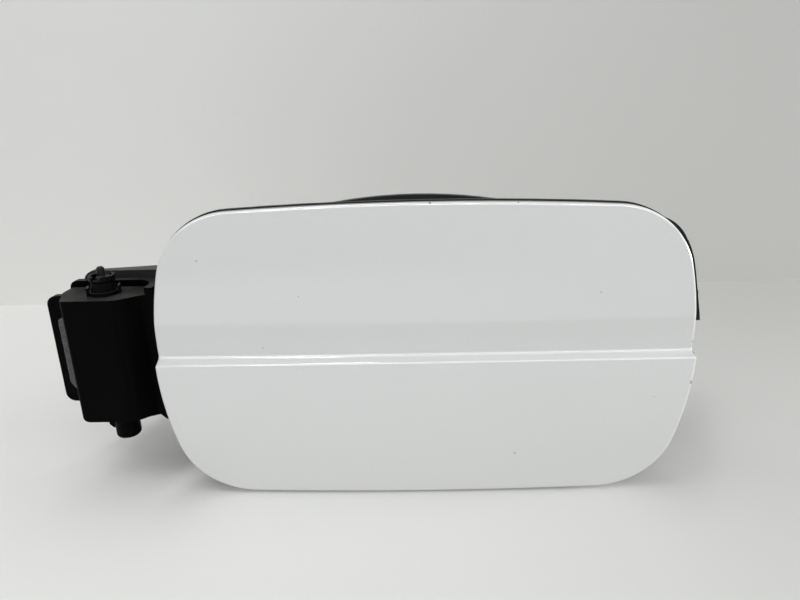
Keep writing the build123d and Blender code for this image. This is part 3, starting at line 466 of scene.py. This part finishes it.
def plain_steel(name, pale, dark, rough, bloom):
    """Drawn or plated steel: fine lines, cloudy colour and a little brown bloom on its edges."""
    material, tree, shader = new_material(name)
    place = object_place(tree)
    stretched = put(tree, "Mapping", {"Vector": place, "Scale": (1.0, 1.0, 0.08)}).outputs[0]
    lines = noise(tree, stretched, 2600.0)
    clouds = noise(tree, place, 180.0, detail=4.0, roughness=0.6)
    worn = use_group(tree, edge_wear, Width=0.0004, Breakup=1500.0, Amount=bloom)["Mask"]
    colour = blend_colours(tree, clouds, dark, pale)
    colour = blend_colours(tree, worn, colour, BROWN_BLOOM)
    tree.links.new(colour, shader.inputs["Base Color"])
    tree.links.new(raised(tree, 1.0, worn, -0.8), shader.inputs["Metallic"])
    streaked = raised(tree, rough - 0.07, lines, 0.14)
    tree.links.new(raised(tree, streaked, worn, 0.35), shader.inputs["Roughness"])
    bump(tree, shader, lines, strength=0.2, depth=0.00003)
    return material


def pale_plastic(name):
    """Natural bearing plastic: waxy off-white with faint flow clouds and grey rub marks."""
    material, tree, shader = new_material(name)
    place = object_place(tree)
    clouds = noise(tree, place, 150.0, detail=4.0, roughness=0.55)
    scratches = use_group(tree, hairlines, Density=0.8)["Mask"]
    worn = use_group(tree, edge_wear, Width=0.0006, Breakup=1200.0, Amount=0.35)["Mask"]
    rubbed = union(tree, worn, product(tree, scratches, 0.4))
    colour = blend_colours(tree, clouds, PALE_DARKER, PALE_LIGHTER)
    colour = blend_colours(tree, rubbed, colour, grey(0.24))
    tree.links.new(colour, shader.inputs["Base Color"])
    tree.links.new(fade(tree, clouds, 0.2, 0.8, low=0.30, high=0.42), shader.inputs["Roughness"])
    bump(tree, shader, clouds, strength=0.15, depth=0.00005)
    return material


# Black mouldings by material slot, with what differs from one to the other
MOULDINGS = {
    "carrier_plastic": {"level": 0.0060, "rough": 0.44, "dust": 0.12, "wear": 0.1, "gloss": 0.15},
    "arm_plastic": {"level": 0.012, "rough": 0.46, "fineness": 0.7, "grain": 0.5, "gloss": 0.3},
    "box_plastic": {"level": 0.0010, "rough": 0.40, "gloss": 0.03},
    "bowl_plastic": {"level": 0.012, "rough": 0.48, "fineness": 0.8, "grain": 0.5, "gloss": 0.3},
    "bush_plastic": {"level": 0.0025, "rough": 0.36, "fineness": 1.3, "grain": 0.2,
                     "dust": 0.3, "wear": 0.25},
    "lock_plastic": {"level": 0.017, "rough": 0.50, "fineness": 0.9, "grain": 0.45, "gloss": 0.3},
}

# Steels by material slot
STEELS = {
    "pin_steel": {"pale": grey(0.030, warm=-0.02), "dark": grey(0.012), "rough": 0.40, "bloom": 0.3},
    "spring_steel": {"pale": grey(0.46), "dark": grey(0.30), "rough": 0.36, "bloom": 0.4},
    "screw_steel": {"pale": grey(0.55, warm=-0.01), "dark": grey(0.40, warm=0.02),
                    "rough": 0.34, "bloom": 0.25},
}

finishes = {
    "white_paint": white_paint(),
    "seal_rubber": black_rubber("seal_rubber"),
    "grey_foam": grey_foam("grey_foam"),
    "lock_pin_plastic": pale_plastic("lock_pin_plastic"),
}
for slot, values in MOULDINGS.items():
    finishes[slot] = black_moulding(slot, **values)
for slot, values in STEELS.items():
    finishes[slot] = plain_steel(slot, **values)


def dress_nodes():
    """Gives each CAD node the finish of its material slot."""
    for part in frame["record"]["subparts"]:
        mesh = nodes[part["node"]].data
        mesh.materials.clear()
        mesh.materials.append(finishes[part["material_slot"]])


def surface_object(name, points, faces, finish):
    """A smooth mesh object at the origin from arrays of points and faces."""
    mesh = bpy.data.meshes.new(name)
    mesh.from_pydata(points.tolist(), [], faces.tolist())
    mesh.polygons.foreach_set("use_smooth", np.ones(len(mesh.polygons), bool))
    mesh.materials.append(finish)
    mesh.update()
    piece = bpy.data.objects.new(name, mesh)
    bpy.context.scene.collection.objects.link(piece)
    return piece


def grid_faces(rows, columns):
    """Quads of a grid whose columns close round and whose rows run on."""
    row, column = np.meshgrid(np.arange(rows - 1), np.arange(columns), indexing="ij")
    beside = (column + 1) % columns
    corners = (row * columns + column, row * columns + beside,
               (row + 1) * columns + beside, (row + 1) * columns + column)
    return np.stack([corner.ravel() for corner in corners], axis=1)


def pad_profile(count):
    """Section of the pad as a closed ring, flat where it rests and crowned in front.

    The width goes from -1 to 1 as sign(cos a) |cos a|^0.5, and the height from 0 to 1 as max(0, sin a)^0.6,
    for angles a once round.
    """
    angle = np.linspace(0.0, 2 * np.pi, count, endpoint=False)
    across = np.sign(np.cos(angle)) * np.abs(np.cos(angle)) ** 0.5
    height = np.maximum(np.sin(angle), 0.0) ** 0.6
    return across, height


def add_foam_pad():
    """Soft strip in the space of its CAD solid: the ring carried up its length, with rounded ends.

    Along the length t from 0 to 1 the ring's size is (1 - (2t - 1)^40)^0.5. The lower end is cut slanted.
    The crown swells and shrinks by two waves, of 5 and of 2 percent, and the sides by far less.
    """
    corners = np.array([corner.co for corner in nodes["foam_strip"].data.vertices])
    low, high = corners.min(axis=0), corners.max(axis=0)
    across, height = pad_profile(PAD_ROUND)
    t = (1.0 - np.cos(np.linspace(0.0, np.pi, PAD_ALONG))) / 2
    size = np.sqrt(np.maximum(1.0 - np.abs(2 * t - 1) ** 40, 0.0))
    swell = 0.93 + 0.05 * np.sin(31.0 * t) + 0.02 * np.sin(77.0 * t + 1.0)
    half = (high[0] - low[0]) / 2
    x = low[0] + half + half * np.outer(size * (0.96 + 0.04 * swell), across)
    y = high[1] - (high[1] - low[1]) * np.outer(size * swell, height)
    foot = low[2] + PAD_SLANT * (high[0] - x) / (2 * half)
    z = foot + (high[2] - foot) * t[:, None]
    points = np.stack([x, y, z], axis=2).reshape(-1, 3)
    pad = surface_object("foam_pad", points, grid_faces(len(t), len(across)), finishes["grey_foam"])
    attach(pad, "bowl")
    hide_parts("foam_strip")


def stage_paint():
    """Pale matt floor and wall with faint clouds, paler at the left and darker at the right as painted light
    and shade, clear far from the object and at their back.

    So they fade into the pale room, and hide nothing seen from behind.
    """
    material, tree, shader = new_material("floor_paint")
    place = object_place(tree)
    split = split_axes(tree, place)
    # Painted light and shade: floor and wall paler at the left and darker at the right
    side = fade(tree, split["X"], LEFT_ALONG, RIGHT_ALONG)
    level = fade(tree, split_axes(tree, surface_normal(tree))["Z"], 0.3, 0.7)
    wall = blend_colours(tree, side, WALL_LEFT_LIT, WALL_RIGHT_SHADED)
    floor = blend_colours(tree, side, FLOOR_LEFT_LIT, FLOOR_RIGHT_SHADED)
    colour = blend_colours(tree, level, wall, floor)
    clouds = noise(tree, place, 2.5)
    colour = blend_colours(tree, product(tree, clouds, 0.08), colour, grey(1.0))
    tree.links.new(colour, shader.inputs["Base Color"])
    shader.inputs["Roughness"].default_value = 0.55
    behind = put(tree, "NewGeometry").outputs["Backfacing"]
    far = fade(tree, length_of(tree, split["X"], split["Y"]), STAGE_NEAR, STAGE_FAR)
    clear = put(tree, "BsdfTransparent").outputs[0]
    mixed = put(tree, "MixShader", {0: union(tree, behind, far), 1: shader.outputs[0], 2: clear}).outputs[0]
    tree.links.new(mixed, tree.nodes["Material Output"].inputs["Surface"])
    return material


def add_stage():
    """Floor, small cove and wall as one sheet: a profile in depth and height carried along the width."""
    floor_z = cad_box[0][2] - FLOOR_DROP
    turn = np.linspace(0.0, np.pi / 2, COVE_POINTS)
    cove_y = WALL_PLACE - COVE_RADIUS + COVE_RADIUS * np.sin(turn)
    cove_z = floor_z + COVE_RADIUS - COVE_RADIUS * np.cos(turn)
    depth = np.concatenate([[FLOOR_FRONT], cove_y, [WALL_PLACE]])
    height = np.concatenate([[floor_z], cove_z, [floor_z + WALL_HEIGHT]])
    width = np.array([-FLOOR_WIDTH / 2, FLOOR_WIDTH / 2])
    slope = np.tan(radians(WALL_TURN))
    x, y = np.meshgrid(width, depth)
    points = np.stack([x, y + slope * x * (y > 0), np.repeat(height[:, None], 2, axis=1)], axis=2)
    row = np.arange(len(depth) - 1) * 2
    faces = np.stack([row, row + 1, row + 3, row + 2], axis=1)
    stage = surface_object("floor", points.reshape(-1, 3), faces, stage_paint())


def add_lamp(name, place, width, depth, watts, beam):
    """A soft oblong lamp that faces the object, with its width level and its beam's angle in degrees."""
    data = bpy.data.lights.new(name, "AREA")
    data.energy = watts
    data.shape = "RECTANGLE"
    data.size = width
    data.size_y = depth
    data.spread = radians(beam)
    lamp = bpy.data.objects.new(name, data)
    lamp.location = place
    lamp.rotation_euler = (-Vector(place)).to_track_quat("-Z", "Y").to_euler()
    bpy.context.scene.collection.objects.link(lamp)


def add_light():
    """Even room light from the world, paler where the camera or a reflection sees it, and the soft lamps."""
    world = bpy.data.worlds.new("studio")
    bpy.context.scene.world = world
    world.use_nodes = True
    tree = world.node_tree
    background = tree.nodes["Background"]
    background.inputs["Color"].default_value = WORLD_COLOUR
    ray = put(tree, "LightPath").outputs
    seen = union(tree, ray["Is Camera Ray"], ray["Is Glossy Ray"], ray["Is Transmission Ray"])
    strength = raised(tree, WORLD_LIGHT, seen, WORLD_SEEN - WORLD_LIGHT)
    tree.links.new(strength, background.inputs["Strength"])
    for lamp in LAMPS:
        add_lamp(*lamp)


def add_camera():
    """Looks along a direction given by pitch and yaw, then rolled about it."""
    pitch, yaw, roll = radians(CAMERA_PITCH), radians(CAMERA_YAW), radians(CAMERA_ROLL)
    forward = Vector((sin(yaw) * cos(pitch), cos(yaw) * cos(pitch), -sin(pitch)))
    level = Vector((cos(yaw), -sin(yaw), 0.0))
    upright = level.cross(forward)
    right = cos(roll) * level + sin(roll) * upright
    up = cos(roll) * upright - sin(roll) * level
    data = bpy.data.cameras.new("camera")
    data.sensor_width = SENSOR_WIDTH
    data.lens = FOCAL_PIXELS / IMAGE_WIDTH * SENSOR_WIDTH
    data.clip_start = CAMERA_NEAR
    camera = bpy.data.objects.new("camera", data)
    turn = Matrix((right, up, -forward)).transposed().to_4x4()
    camera.matrix_world = Matrix.Translation(CAMERA_PLACE) @ turn
    bpy.context.scene.collection.objects.link(camera)
    bpy.context.scene.camera = camera


dress_nodes()
add_foam_pad()
add_stage()
add_light()
add_camera()
bpy.context.scene.view_settings.view_transform = "Standard"
